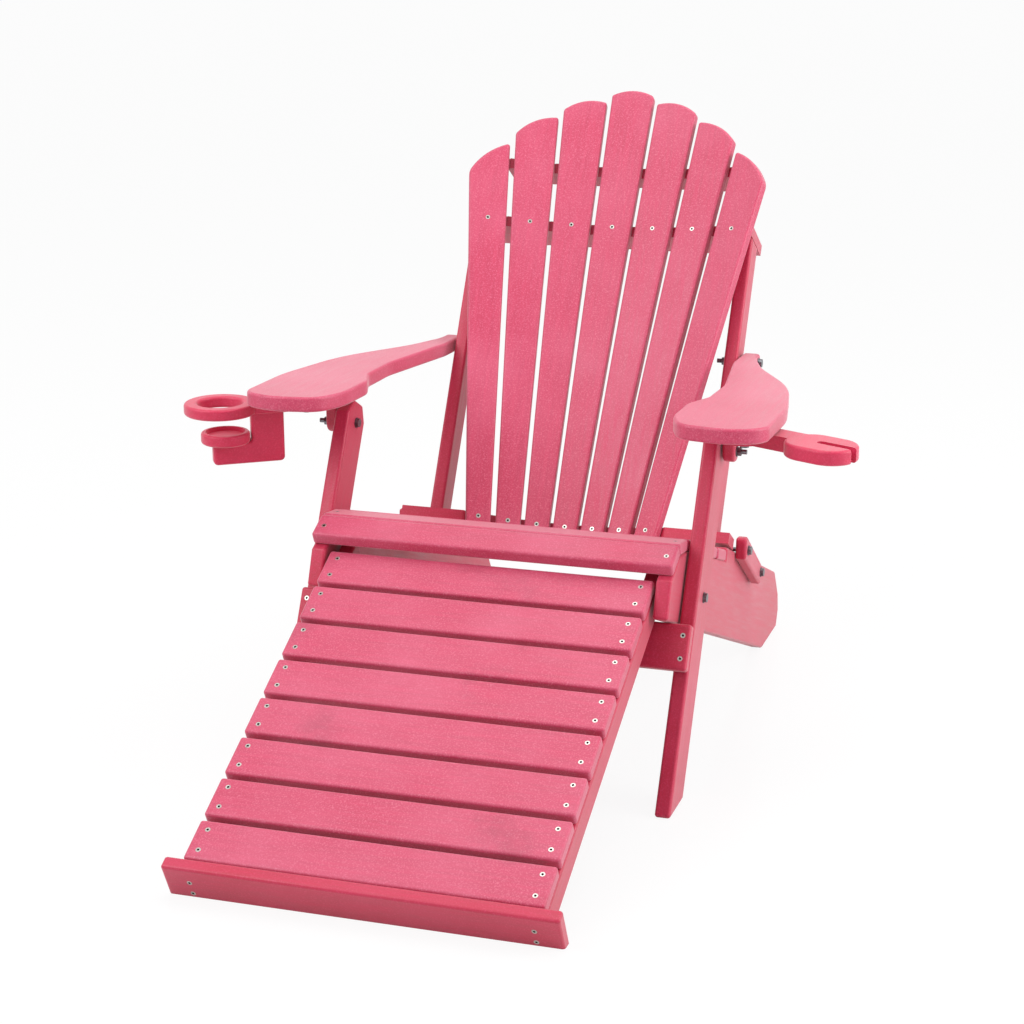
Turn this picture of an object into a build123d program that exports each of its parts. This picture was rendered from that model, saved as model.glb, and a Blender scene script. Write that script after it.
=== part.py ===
"""Folding adirondack chair in poly lumber, with a footrest and a swing-out holder under each arm.

Frame: X to the sitter's left, Y to the rear, Z up. The floor is Z = 0, X = 0 is the middle of the
chair and Y = 0 is at the front ends of the seat stringers. Millimetres.
"""
from math import asin, atan2, cos, degrees, hypot, radians, sin, sqrt, tan
import os

from build123d import *

os.makedirs("parts", exist_ok=True)

# Lumber and clearances
BOARD = 26.0             # stringers, legs and arms
SLAT = 20.0              # seat planks, back slats and braces
ROUND = 5.0              # rounded-over edges of every board
RUN_GAP = 2.5            # washer gap between boards that turn on each other
FIT = 0.05               # radial clearance of a bolt in a turning hole
SEAT_GAP = 0.4           # clearance between parts that only rest on each other
WASHER_GAP = 0.3         # play under the washers of a bolt that turns

# Fasteners
BOLT_R = 4.0
NUT_R = 7.5
NUT_H = 6.5
WASHER_R = 9.0
WASHER_H = 1.6
BOLT_HEAD_H = 4.55
TAIL = 9.0               # thread that stands out past a nut
SHORT_TAIL = 2.0         # the same, where there is little room
SCREW_HEAD_R = 4.4
SCREW_R = 2.2
SCREW_LEN = 30.0

# Widths across the chair
SEAT_HALF = 310.0        # outer face of the stringers, ends of the seat planks
FOOT_SLAT_HALF = SEAT_HALF - BOARD - 5.0   # footrest runs between the stringers
END_BOARD_HALF = SEAT_HALF - 3.0
UPRIGHT_OUT = SEAT_HALF - BOARD - 13.0     # outer face of the back uprights
UPRIGHT_T = 25.0

# Pivots, each as (Y, Z)
ARM_HEIGHT = 606.0               # arms' top face above the front pivot
LEG_PIVOT = (127.0, 306.0)       # leg on stringer
ARM_FRONT_PIVOT = (246.0, ARM_HEIGHT - 81.0)  # arm lug on leg
ARM_REAR_PIVOT = (676.0, ARM_HEIGHT - 29.0)   # arm on upright
BACK_PIVOT = (508.0, 272.0)      # upright on link
LINK_PIVOT = (622.0, 196.0)      # link on stringer

# Stringers and seat
STRINGER_FRONT_BOTTOM = 305.0
STRINGER_SLOPE = 22.0
FOOT_FLAT = 130.0
NOSE_TIP = (24.7, 388.3)         # front upper edge of the nosing plank
NOSE_ANGLE = 24.2
NOSE_WIDTH = 52.0
NOSE_T = 23.0
CREST_WIDTH = 58.6               # second plank, at the top of the seat
CREST_ANGLE = 7.8
SEAT_ANGLE = 20.0
SEAT_PLANKS = 4
SEAT_PLANK_W = 68.0
SEAT_PLANK_GAP = 9.0
SEAT_SCREW_INSET = 15.0
NOSE_GAP = 1.5                   # between the nosing and the crest plank
NOSE_LEDGE = 10.0                # stringer ahead of the nosing's lower front edge
CREST_LAP = 5.0                  # stringer's ridge ahead of the nosing's rear edge
SEAT_STEP_BACK = 3.0             # from the crest plank to the seat's slope
SEAT_STEP_DOWN = 0.6
DECK_STEP = 8.0                  # stringer's slope between the seat and the deck under the back
DECK_EXTRA = 0.4                 # degrees that the deck falls beyond the stringer's lower edge
HEEL_LOW = (17.0, 30.0)          # rear corners of the foot: behind the flat, above the floor
HEEL_HIGH = (12.0, 66.0)
HEEL_TOP = 24.0                  # upper corner, ahead of the flat's end

# Front legs and stretcher
LEG_W = 80.0
STRETCHER_H = 76.0
STRETCHER_T = 22.0
STRETCHER_DROP = 56.0            # from the leg pivot down to its top edge
STRETCHER_SCREW_INSET = 12.0
STRETCHER_SCREW_LEN = 45.0
STRETCHER_SCREW_EDGE = 19.0      # from the stretcher's edges to its screws
LEG_CLIP_SIDE = 10.0             # clipped upper end, above the arm pivot at the sides
LEG_CLIP_TOP = 36.0              # and at the top
LEG_TOP_HALF = 20.0

# Back
BACK_ANGLE = 58.1                # slats from horizontal
SLAT_COUNT = 7
SLAT_FOOT = (464.6, 299.9)       # lower screw of the middle slat
SCREW_SPAN = 585.7               # from the lower to the upper screw row
PITCH_LOW = 52.3
PITCH_HIGH = 78.4
BOW_LOW = 465.0                  # radius of the hollow across the slats at the lower screws
BOW_HIGH = 854.0
SLAT_GAP = 6.5
SLAT_BELOW = 18.0
CROWN_HEIGHT = 857.0             # top of the middle slat above its lower screw
CROWN_R = 430.0
CROWN_STEPS = (0.0, 16.0, 33.0, 53.0)  # how much lower each slat is cut, from the middle outwards
CROWN_BULGE = 9.0                # each slat's own rounded top
CROWN_CORNER = 9.0
CROWN_FAN = 800.0                # height at which the crown's curve is laid across the slats
CROWN_SIDE = 40.0                # where a slat's side meets its top, below the crown
CROWN_SIDE_FALL = 14.0
SHOULDER_CORNER = 26.0           # outer corner of the outermost slats
MID_BRACE_HALF = UPRIGHT_OUT - 1.0
MID_BRACE_REAR = 84.0
UPPER_BRACE_HEIGHT = 704.0
UPPER_BRACE_HALF = 222.0
UPPER_BRACE_W = 45.0
RAIL_REAR = 52.0
RAIL_FRONT = -20.0
RAIL_STEP = 24.0                 # rail's bearing edge behind the middle slat's face
RAIL_END_GAP = 2.0               # rail's ends inside the stringers' outer faces
SLAT_CUT_GAP = 0.02              # sliver of clearance between a slat and its brace
NO_LIMIT = -100.0                # a brace that follows the slats' curve to its ends
UPRIGHT_W = 52.0

# Links that carry the back
LINK_T = 20.0
LINK_W = 40.0
LINK_GAP = 0.5                   # between link and stringer

# Arms
ARM_FALL = 2.06                  # degrees down to the rear
ARM_FRONT = 45.0
ARM_REAR = 700.0
ARM_IN = SEAT_HALF - 28.0
ARM_OUT = SEAT_HALF + 137.0
ARM_WAIST_IN = SEAT_HALF - 5.0
ARM_TAIL_IN = UPRIGHT_OUT + RUN_GAP
ARM_TAIL_W = 31.0
ARM_TAIL_LONG = 90.0             # straight inner edge of the tail
ARM_TAIL_STRAIGHT = 40.0         # straight outer edge of the tail
ARM_WAIST_REAR = 150.0           # stations along the arm, behind its front pivot
ARM_WAIST_FRONT = 40.0
ARM_PALM_REAR = -20.0
ARM_PALM_FRONT = -125.0
ARM_BROAD_REAR = -10.0
ARM_TAPER_REAR = 172.0
ARM_NECK_REAR = 322.0
ARM_WAIST_LEAN = 2.0
ARM_NOSE_IN = 24.0               # rounded front: its inner corner
ARM_NOSE_BACK = 17.0
ARM_NOSE_OUT = 60.0              # its outer corner
ARM_CORNER_BACK = 28.0
ARM_TAPER_IN = 32.0
ARM_NECK_OUT = 30.0
ARM_CORNERS = (4, 150, 150, 60, 60, 150, 45, 90, 44, 300, 400, 300, 120, 8)  # in outline order
TAIL_HEAD = 1.2                  # the tail bolt's washer stands off the curved edge
SPLIT_GAP = 0.2                  # tail bolt's inner end, past the middle of its gap
LUG_T = 21.5
LUG_W = 36.0
CLEAT_T = 12.0
CLEAT_W = 54.0
CLEAT_BACK = 6.0                 # cleat's middle behind the front pivot
CLEAT_LAP_IN = 8.0               # cleat past the leg
CLEAT_LAP_OUT = 20.0             # cleat past the lug
PIVOT_COVER = 8.0                # arm left above a holder's bolt

# Footrest
FOOT_ANGLE = 26.15
FOOT_TOP = 343.2                 # height of the first slat's top face, at Y = 0
FOOT_SLATS = 8
FOOT_PITCH = 84.8
FOOT_SLAT_W = 75.0
FOOT_SLAT_T = 22.0
FOOT_RAIL_H = 48.0
FOOT_RAIL_HEAD = 92.0            # rail behind the first slat's centre line
FOOT_SCREW_X = FOOT_SLAT_HALF - 18.4
FOOT_SCREW_PAIR = 39.0
END_BOARD_T = 22.0
END_BOARD_H = 62.0
END_BOARD_SPARE = 14.0           # cut off level at the floor
END_SCREW_EDGE = 8.0
RAIL_LIFT = 1.0                  # rails clear of the floor
PIN_END_GAP = 1.0
FOOT_PIN_R = 6.0
FOOT_PIN_DEEP = 12.0
FOOT_PIVOT_BACK = 30.0           # from the first slat's centre line up to the pivot pin
FOOT_PIVOT_DOWN = 47.0           # from the slats' top face down to the pivot pin

# Holders under the arms
HOLDER_X = SEAT_HALF + 75.0
HOLDER_Y = 200.0
HOLDER_T = 20.0
HOLDER_GAP = 2.5                 # spacer washer between the arm and a holder
HOLDER_REACH = 150.0
CUP_ANGLE = 34.4                 # degrees forward of straight out
CUP_BORE_R = 39.0
CUP_RING_R = 62.0
CUP_BASE_R = 42.0
CUP_BASE_IN = 7.0                # base disc's centre is this much nearer the pivot than the ring's
CUP_BASE_DROP = 52.0             # from the ring's top to the base disc's top
CUP_PLATE_DEEP = 38.0
CUP_PLATE_IN = 108.0
CUP_PLATE_TAIL = 16.0
CUP_DISH_DEEP = 8.0
CUP_DISH_WALL = 8.0
CUP_PLATE_GAP = 2.0              # between the base disc and the bracket
CUP_PLATE_CORNER = 8.0
HOLDER_BAR_W = 60.0
GLASS_ANGLE = 24.0
GLASS_T = 25.0
GLASS_LONG = 124.0
GLASS_WIDE = 90.0
GLASS_BAR_W = 42.0
STEM_W = 14.0
GLASS_BAR_SIDE = 8.0             # bar's middle line beside the slab's


def prism(points, plane, depth, radius=ROUND):
    """A board cut to an outline on a plane, with every edge rounded over."""
    with BuildPart() as piece:
        with BuildSketch(plane):
            with BuildLine():
                Polyline(*points, close=True)
            make_face()
        extrude(amount=depth)
        if radius:
            fillet(piece.edges(), radius)
    return piece.part


def save(solid, name):
    solid.label = name
    export_step(solid, f"parts/{name}.step")


def save_pair(solid, name):
    """The left piece as modelled and its mirror image for the right."""
    save(solid, f"left_{name}")
    save(mirror(solid, about=Plane.YZ), f"right_{name}")


def group(solids, name):
    save(Compound(children=solids), name)


def along(start, angle, distance):
    """A point on the side view, at a distance from another in a direction given in degrees."""
    return (start[0] + distance * cos(radians(angle)), start[1] + distance * sin(radians(angle)))


def drill(solid, x0, x1, centre, radius):
    """The solid with a hole along X."""
    with BuildPart() as piece:
        add(solid)
        with BuildSketch(Plane.YZ.offset(x0)):
            with Locations(centre):
                Circle(radius)
        extrude(amount=x1 - x0, mode=Mode.SUBTRACT)
    return piece.part


def rod(x0, x1, centre, radius):
    """A round bar along X."""
    with BuildPart() as piece:
        with BuildSketch(Plane.YZ.offset(x0)):
            with Locations(centre):
                Circle(radius)
        extrude(amount=x1 - x0)
    return piece.part


def bolt(x_head, x_nut, centre, x_tail):
    """A bolt along X: washered head outside x_head, washer and hex nut past x_nut, thread to x_tail."""
    out = 1.0 if x_head > x_nut else -1.0
    with BuildPart() as piece:
        for start, height, radius in (
            (x_tail, abs(x_head - x_tail), BOLT_R),
            (x_head, WASHER_H, WASHER_R),
            (x_nut, -WASHER_H, WASHER_R),
        ):
            with BuildSketch(Plane.YZ.offset(start)):
                with Locations(centre):
                    Circle(radius)
            extrude(amount=out * height)
        with BuildSketch(Plane.YZ.offset(x_head + out * WASHER_H)):
            with Locations(centre):
                Circle(NUT_R)
        extrude(amount=out * BOLT_HEAD_H)
        with BuildSketch(Plane.YZ.offset(x_nut - out * WASHER_H)):
            with Locations(centre):
                RegularPolygon(NUT_R, 6)
        extrude(amount=-out * NUT_H)
    return piece.part


def screw(plane, length=SCREW_LEN):
    """A flat-head wood screw whose head lies flush with the plane and points down its normal."""
    with BuildPart() as piece:
        with BuildSketch(plane):
            Circle(SCREW_HEAD_R)
        with BuildSketch(plane.offset(-SCREW_HEAD_R + SCREW_R)):
            Circle(SCREW_R)
        loft()
        with BuildSketch(plane.offset(-SCREW_HEAD_R + SCREW_R)):
            Circle(SCREW_R)
        extrude(amount=-(length - SCREW_HEAD_R + SCREW_R))
    return piece.part


def bore_screws(solid, planes, length=SCREW_LEN):
    """The solid with a seat cut for each screw."""
    with BuildPart() as piece:
        add(solid)
        for plane in planes:
            add(screw(plane, length), mode=Mode.SUBTRACT)
    return piece.part


def both_sides(planes):
    return [p for plane in planes for p in (plane, mirror_plane(plane))]


def mirror_plane(plane):
    o, x, z = plane.origin, plane.x_dir, plane.z_dir
    return Plane((-o.X, o.Y, o.Z), (-x.X, x.Y, x.Z), (-z.X, z.Y, z.Z))


# Seat stringers: one wide board a side, which is also the rear leg
stringer_in = SEAT_HALF - BOARD
nose_dir = (cos(radians(NOSE_ANGLE)), sin(radians(NOSE_ANGLE)))
nose_under = (NOSE_TIP[0] + NOSE_T * nose_dir[1], NOSE_TIP[1] - NOSE_T * nose_dir[0])
nose_top_rear = along(NOSE_TIP, NOSE_ANGLE, NOSE_WIDTH)
nose_low_rear = along(nose_under, NOSE_ANGLE, NOSE_WIDTH)
crest_start = (nose_top_rear[0] + NOSE_GAP, nose_top_rear[1])
crest_end = along(crest_start, -CREST_ANGLE, CREST_WIDTH)
crest_low_end = along(crest_end, -CREST_ANGLE - 90, SLAT)
crest_low_y = nose_low_rear[0] + NOSE_GAP
crest_drop = (crest_low_end[0] - crest_low_y) * tan(radians(CREST_ANGLE))
crest_low_start = (crest_low_y, crest_low_end[1] + crest_drop)
seat_start = (crest_low_end[0] + SEAT_STEP_BACK, crest_low_end[1] - SEAT_STEP_DOWN)
seat_len = SEAT_PLANKS * (SEAT_PLANK_W + SEAT_PLANK_GAP)
seat_end = along(seat_start, -SEAT_ANGLE, seat_len)

back_dir = (cos(radians(BACK_ANGLE)), sin(radians(BACK_ANGLE)))
rear_dir = (back_dir[1], -back_dir[0])


def on_back(rear, up):
    """A point (Y, Z) at a distance behind the middle slat's face and above its lower screw."""
    return (SLAT_FOOT[0] + rear * rear_dir[0] + up * back_dir[0],
            SLAT_FOOT[1] + rear * rear_dir[1] + up * back_dir[1])


rail_rest = on_back(RAIL_STEP, -SLAT / 2)
deck_fall = tan(radians(STRINGER_SLOPE + DECK_EXTRA))


def deck(y):
    """Height of the stringer's full-width top edge, on which the back rests."""
    return rail_rest[1] - SEAT_GAP - deck_fall * (y - rail_rest[0])


foot_front = STRINGER_FRONT_BOTTOM / tan(radians(STRINGER_SLOPE))
foot_rear = foot_front + FOOT_FLAT
nose_rest = (nose_under[0] - NOSE_LEDGE, nose_under[1] - NOSE_LEDGE * tan(radians(NOSE_ANGLE)))
under_crest = nose_low_rear[0] - CREST_LAP
crest_rest = crest_low_end[1] + (crest_low_end[0] - under_crest) * tan(radians(CREST_ANGLE))
nose_rest_rear = nose_under[1] + (under_crest - nose_under[0]) * tan(radians(NOSE_ANGLE))
stringer_outline = [
    (0, STRINGER_FRONT_BOTTOM),
    (foot_front, 0),
    (foot_rear, 0),
    (foot_rear + HEEL_LOW[0], HEEL_LOW[1]),
    (foot_rear + HEEL_HIGH[0], HEEL_HIGH[1]),
    (foot_rear - HEEL_TOP, deck(foot_rear - HEEL_TOP)),
    (seat_end[0] + DECK_STEP, deck(seat_end[0] + DECK_STEP)),
    seat_end,
    seat_start,
    crest_low_end,
    (under_crest, min(crest_rest, nose_rest_rear)),
    nose_rest,
]
stringer = prism(stringer_outline, Plane.YZ.offset(stringer_in), BOARD)
stringer = drill(stringer, stringer_in, SEAT_HALF, LEG_PIVOT, BOLT_R + FIT)
stringer = drill(stringer, stringer_in, SEAT_HALF, LINK_PIVOT, BOLT_R + FIT)

foot_plane = Plane(origin=(0, 0, FOOT_TOP), x_dir=(1, 0, 0),
                   z_dir=(0, -sin(radians(FOOT_ANGLE)), cos(radians(FOOT_ANGLE))))
foot_pin = foot_plane.from_local_coords((0, FOOT_PIVOT_BACK, -FOOT_PIVOT_DOWN))
foot_pin_yz = (foot_pin.Y, foot_pin.Z)
pin_end = stringer_in + FOOT_PIN_DEEP
stringer = drill(stringer, stringer_in, pin_end + PIN_END_GAP, foot_pin_yz, FOOT_PIN_R + FIT)

# Seat planks, screwed down at both ends
seat_screw_x = SEAT_HALF - SEAT_SCREW_INSET
plank_plane = Plane.YZ.offset(-SEAT_HALF)


def tilted(point, angle):
    """A plane that faces up at a side-view angle, at a point near the left end of the planks."""
    return Plane(origin=(seat_screw_x, *point), x_dir=(1, 0, 0),
                 z_dir=(0, -sin(radians(angle)), cos(radians(angle))))


nosing = prism([NOSE_TIP, nose_under, nose_low_rear, nose_top_rear], plank_plane, 2 * SEAT_HALF)
crest = prism([crest_start, crest_low_start, crest_low_end, crest_end], plank_plane, 2 * SEAT_HALF)
planks = [nosing, crest]
plank_screws = [tilted(along(NOSE_TIP, NOSE_ANGLE, NOSE_WIDTH * 0.45), NOSE_ANGLE),
                tilted(along(crest_start, -CREST_ANGLE, CREST_WIDTH * 0.55), -CREST_ANGLE)]
for i in range(SEAT_PLANKS):
    near = along(seat_start, -SEAT_ANGLE, SEAT_PLANK_GAP / 2 + i * (SEAT_PLANK_W + SEAT_PLANK_GAP))
    far = along(near, -SEAT_ANGLE, SEAT_PLANK_W)
    lift = 90 - SEAT_ANGLE
    planks.append(prism([along(near, lift, SLAT), near, far, along(far, lift, SLAT)],
                        plank_plane, 2 * SEAT_HALF))
    plank_screws.append(tilted(along(along(near, lift, SLAT), -SEAT_ANGLE, SEAT_PLANK_W / 2), -SEAT_ANGLE))
seat_names = ["seat_nosing"] + [f"seat_plank_{i + 1}" for i in range(SEAT_PLANKS + 1)]
for plank, plane, name in zip(planks, plank_screws, seat_names):
    save(bore_screws(plank, both_sides([plane])), name)
stringer = bore_screws(stringer, plank_screws)
save_pair(stringer, "stringer")
group([screw(p) for p in both_sides(plank_screws)], "seat_screws")

# Front legs: turn on the stringers and carry the arms
leg_in = SEAT_HALF + RUN_GAP
leg_out = leg_in + BOARD
leg_angle = degrees(atan2(ARM_FRONT_PIVOT[1] - LEG_PIVOT[1], ARM_FRONT_PIVOT[0] - LEG_PIVOT[0]))


def on_leg(ahead, up):
    """A point (Y, Z) in front of the leg's middle line and above its pivot."""
    return along(along(LEG_PIVOT, leg_angle, up), leg_angle + 90, ahead)


leg_half = LEG_W / 2
leg_len = hypot(ARM_FRONT_PIVOT[0] - LEG_PIVOT[0], ARM_FRONT_PIVOT[1] - LEG_PIVOT[1])
foot_y = LEG_PIVOT[0] - LEG_PIVOT[1] / tan(radians(leg_angle))
foot_half = leg_half / sin(radians(leg_angle))
leg_outline = [
    (foot_y - foot_half, 0),
    (foot_y + foot_half, 0),
    on_leg(-leg_half, leg_len + LEG_CLIP_SIDE),
    on_leg(-LEG_TOP_HALF, leg_len + LEG_CLIP_TOP),
    on_leg(LEG_TOP_HALF, leg_len + LEG_CLIP_TOP),
    on_leg(leg_half, leg_len + LEG_CLIP_SIDE),
]
leg = prism(leg_outline, Plane.YZ.offset(leg_in), BOARD)
leg = drill(leg, leg_in, leg_out, LEG_PIVOT, BOLT_R)
leg = drill(leg, leg_in, leg_out, ARM_FRONT_PIVOT, BOLT_R + FIT)
stretcher_top = -STRETCHER_DROP
stretcher_low = stretcher_top - STRETCHER_H
stretcher = prism(
    [on_leg(leg_half, stretcher_low), on_leg(leg_half, stretcher_top),
     on_leg(leg_half + STRETCHER_T, stretcher_top), on_leg(leg_half + STRETCHER_T, stretcher_low)],
    Plane.YZ.offset(-leg_out), 2 * leg_out)
stretcher_face = [
    Plane(origin=(leg_out - STRETCHER_SCREW_INSET, *on_leg(leg_half + STRETCHER_T, stretcher_low + rise)),
          x_dir=(1, 0, 0), z_dir=(0, cos(radians(leg_angle + 90)), sin(radians(leg_angle + 90))))
    for rise in (STRETCHER_SCREW_EDGE, STRETCHER_H - STRETCHER_SCREW_EDGE)
]
save(bore_screws(stretcher, both_sides(stretcher_face), STRETCHER_SCREW_LEN), "front_stretcher")
save_pair(bore_screws(leg, stretcher_face, STRETCHER_SCREW_LEN), "leg")
group([screw(p, STRETCHER_SCREW_LEN) for p in both_sides(stretcher_face)], "stretcher_screws")
nut_face = stringer_in - WASHER_GAP
short_tail = WASHER_H + NUT_H + SHORT_TAIL
leg_bolt = bolt(leg_out, nut_face, LEG_PIVOT, nut_face - short_tail)
group([leg_bolt, mirror(leg_bolt, about=Plane.YZ)], "leg_pivot_bolts")

# Arms: a wide paddle that narrows to a tail beside the upright
arm_plane = Plane(origin=(0, ARM_FRONT_PIVOT[0], ARM_HEIGHT), x_dir=(1, 0, 0),
                  z_dir=(0, sin(radians(ARM_FALL)), cos(radians(ARM_FALL))))
front_y = ARM_FRONT - ARM_FRONT_PIVOT[0]
rear_y = ARM_REAR - ARM_FRONT_PIVOT[0]
tail_out = ARM_TAIL_IN + ARM_TAIL_W
arm_outline = [
    (ARM_TAIL_IN, rear_y),
    (ARM_TAIL_IN, rear_y - ARM_TAIL_LONG),
    (ARM_WAIST_IN, ARM_WAIST_REAR),
    (ARM_WAIST_IN - ARM_WAIST_LEAN, ARM_WAIST_FRONT),
    (ARM_IN, ARM_PALM_REAR),
    (ARM_IN, ARM_PALM_FRONT),
    (ARM_IN + ARM_NOSE_IN, front_y + ARM_NOSE_BACK),
    (ARM_OUT - ARM_NOSE_OUT, front_y),
    (ARM_OUT, front_y + ARM_CORNER_BACK),
    (ARM_OUT, ARM_BROAD_REAR),
    (ARM_OUT - ARM_TAPER_IN, ARM_TAPER_REAR),
    (tail_out + ARM_NECK_OUT, ARM_NECK_REAR),
    (tail_out, rear_y - ARM_TAIL_STRAIGHT),
    (tail_out, rear_y),
]
with BuildPart() as arm:
    with BuildSketch(arm_plane) as arm_sketch:
        with BuildLine():
            Polyline(*arm_outline, close=True)
        make_face()
        for corner, radius in zip(arm_outline, ARM_CORNERS):
            fillet(arm_sketch.vertices().sort_by_distance((*corner, 0))[0], radius)
    extrude(amount=-BOARD)
    broad = arm.faces().filter_by(lambda f: abs(f.normal_at().Z) > 0.9)
    fillet(broad.edges(), ROUND)
arm_under = arm_plane.offset(-BOARD)
arm_board = drill(arm.part, ARM_TAIL_IN - 1, tail_out + 1, ARM_REAR_PIVOT, BOLT_R)


def under_arm(point_y):
    """Height of the arm's underside at a place along the chair."""
    fall = (point_y - ARM_FRONT_PIVOT[0]) * tan(radians(ARM_FALL))
    return ARM_HEIGHT - fall - BOARD / cos(radians(ARM_FALL))


pivot_top = under_arm(HOLDER_Y)
with BuildPart() as arm_drilled:
    add(arm_board)
    with Locations(Location((HOLDER_X, HOLDER_Y, pivot_top))):
        Cylinder(BOLT_R, 2 * (BOARD - PIVOT_COVER), mode=Mode.SUBTRACT)
save_pair(arm_drilled.part, "arm")

# Cleat under each arm, and the round-ended lug that hangs from it beside the leg
lug_in = leg_out + RUN_GAP
lug_out = lug_in + LUG_T
cleat_in = leg_in - CLEAT_LAP_IN
cleat_out = lug_out + CLEAT_LAP_OUT
with BuildPart() as cleat:
    with BuildSketch(arm_under):
        with Locations(((cleat_in + cleat_out) / 2, CLEAT_BACK)):
            SlotOverall(cleat_out - cleat_in, CLEAT_W)
    extrude(amount=-CLEAT_T)
    fillet(cleat.faces().filter_by(lambda f: f.normal_at().Z < -0.9).edges(), ROUND)
save_pair(cleat.part, "arm_cleat")
lug_half = LUG_W / 2
lug_top = under_arm(ARM_FRONT_PIVOT[0]) - CLEAT_T / cos(radians(ARM_FALL))
slope = lug_half * tan(radians(ARM_FALL))
with BuildPart() as lug:
    with BuildSketch(Plane.YZ.offset(lug_in)):
        with BuildLine():
            y, z = ARM_FRONT_PIVOT
            Polyline((y - lug_half, z), (y - lug_half, lug_top + slope), (y + lug_half, lug_top - slope),
                     (y + lug_half, z))
            ThreePointArc((y + lug_half, z), (y, z - lug_half), (y - lug_half, z))
        make_face()
    extrude(amount=LUG_T)
    fillet(lug.faces().filter_by(Axis.X).edges().filter_by(GeomType.CIRCLE), ROUND)
save_pair(drill(lug.part, lug_in, lug_out, ARM_FRONT_PIVOT, BOLT_R), "arm_lug")
lug_bolt = bolt(leg_in - WASHER_GAP, lug_out, ARM_FRONT_PIVOT, lug_out + WASHER_H + NUT_H + TAIL)
group([lug_bolt, mirror(lug_bolt, about=Plane.YZ)], "arm_lug_bolts")

# Bolt through each arm's tail: its outer half stays with the arm, its nut with the upright
with BuildPart() as tail_bolt:
    head_in = tail_out + TAIL_HEAD
    add(rod(UPRIGHT_OUT + RUN_GAP / 2 + SPLIT_GAP, head_in, ARM_REAR_PIVOT, BOLT_R))
    add(rod(head_in, head_in + WASHER_H, ARM_REAR_PIVOT, WASHER_R))
    add(rod(head_in + WASHER_H, head_in + NUT_H, ARM_REAR_PIVOT, NUT_R))
group([tail_bolt.part, mirror(tail_bolt.part, about=Plane.YZ)], "arm_tail_bolts")

# Back slats: tapered boards that fan out on a hollow curve
slat_side = (SLAT_COUNT - 1) // 2
width_low = PITCH_LOW - SLAT_GAP
width_gain = (PITCH_HIGH - PITCH_LOW) / SCREW_SPAN


def bow(x, radius):
    """How far the hollow curve comes forward at a distance from the middle."""
    return radius - sqrt(radius * radius - x * x)


def back_point(x, rear, up):
    y, z = on_back(rear, up)
    return Vector(x, y, z)


back_slats = []
slat_planes = []
for k in range(-slat_side, slat_side + 1):
    low = back_point(k * PITCH_LOW, -bow(k * PITCH_LOW, BOW_LOW), 0)
    high = back_point(k * PITCH_HIGH, -bow(k * PITCH_HIGH, BOW_HIGH), SCREW_SPAN)
    turn = (asin(k * PITCH_LOW / BOW_LOW) + asin(k * PITCH_HIGH / BOW_HIGH)) / 2
    up_dir = (high - low).normalized()
    across = Vector(cos(turn), -sin(turn) * rear_dir[0], -sin(turn) * rear_dir[1])
    face = across.cross(up_dir).normalized()
    slat_plane = Plane(origin=low, x_dir=across - up_dir * across.dot(up_dir), z_dir=face)
    slat_planes.append(slat_plane)

    def half(up):
        return (width_low + width_gain * up) / 2

    def crown(t):
        spread = k * (PITCH_LOW + width_gain * CROWN_FAN) + t
        return CROWN_HEIGHT - CROWN_STEPS[abs(k)] - CROWN_R + sqrt(CROWN_R ** 2 - spread ** 2)

    side = half(CROWN_HEIGHT - CROWN_SIDE - CROWN_SIDE_FALL * k * k)
    with BuildPart() as slat:
        with BuildSketch(slat_plane) as slat_sketch:
            with BuildLine():
                foot_w = half(-SLAT_BELOW)
                base = Polyline((-side, crown(-side)), (-foot_w, -SLAT_BELOW), (foot_w, -SLAT_BELOW),
                                (side, crown(side)))
                ThreePointArc(base @ 1, (0, crown(0) + CROWN_BULGE), base @ 0)
            make_face()
            for corner in slat_sketch.vertices().sort_by(Axis.Y)[-2:]:
                outermost = abs(k) == slat_side and corner.X * k > 0
                fillet(corner, SHOULDER_CORNER if outermost else CROWN_CORNER)
        extrude(amount=-SLAT)
        fillet(slat.edges(), ROUND)
    back_slats.append(slat.part)

slat_screws = []
for slat_plane in slat_planes:
    for up in (0, SCREW_SPAN):
        slat_screws.append(Plane(origin=slat_plane.from_local_coords((0, up, 0)), x_dir=slat_plane.x_dir,
                                 z_dir=slat_plane.z_dir))
for i, slat in enumerate(back_slats):
    save(bore_screws(slat, slat_screws[2 * i:2 * i + 2]), f"back_slat_{i + 1}")


# Rail and braces behind the slats, each with its front edge cut to the slats' curve
def brace_plane(up):
    """A plane square to the slats: x across the chair and y to the rear, at a height on the back."""
    y, z = on_back(0, up)
    return Plane(origin=(0, y, z), x_dir=(1, 0, 0), z_dir=(0, *back_dir))


def brace(half_x, radius, front_limit, rear, up):
    """A board across the backs of the slats, straight at its ends once it is far enough forward."""
    front = SLAT + SEAT_GAP
    bend = min(half_x, sqrt(radius ** 2 - (radius - front + front_limit) ** 2))
    ends = front - bow(bend, radius)
    with BuildPart() as piece:
        with BuildSketch(brace_plane(up - SLAT / 2)):
            with BuildLine():
                ThreePointArc((-bend, ends), (0, front), (bend, ends))
                corners = [(bend, ends), (half_x, rear), (-half_x, rear), (-bend, ends)]
                if bend < half_x:
                    corners.insert(1, (half_x, ends))
                    corners.insert(4, (-half_x, ends))
                Polyline(*corners)
            make_face()
        extrude(amount=SLAT)
        for slat_plane in slat_planes:
            with BuildSketch(slat_plane.offset(-SLAT - SLAT_CUT_GAP)):
                with Locations((0, up)):
                    Rectangle(width_low + width_gain * up + SLAT_GAP / 2, 4 * SLAT)
            extrude(amount=3 * SLAT, mode=Mode.SUBTRACT)
    return piece.part


def bow_radius(up):
    return BOW_LOW + (BOW_HIGH - BOW_LOW) * up / SCREW_SPAN


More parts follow.
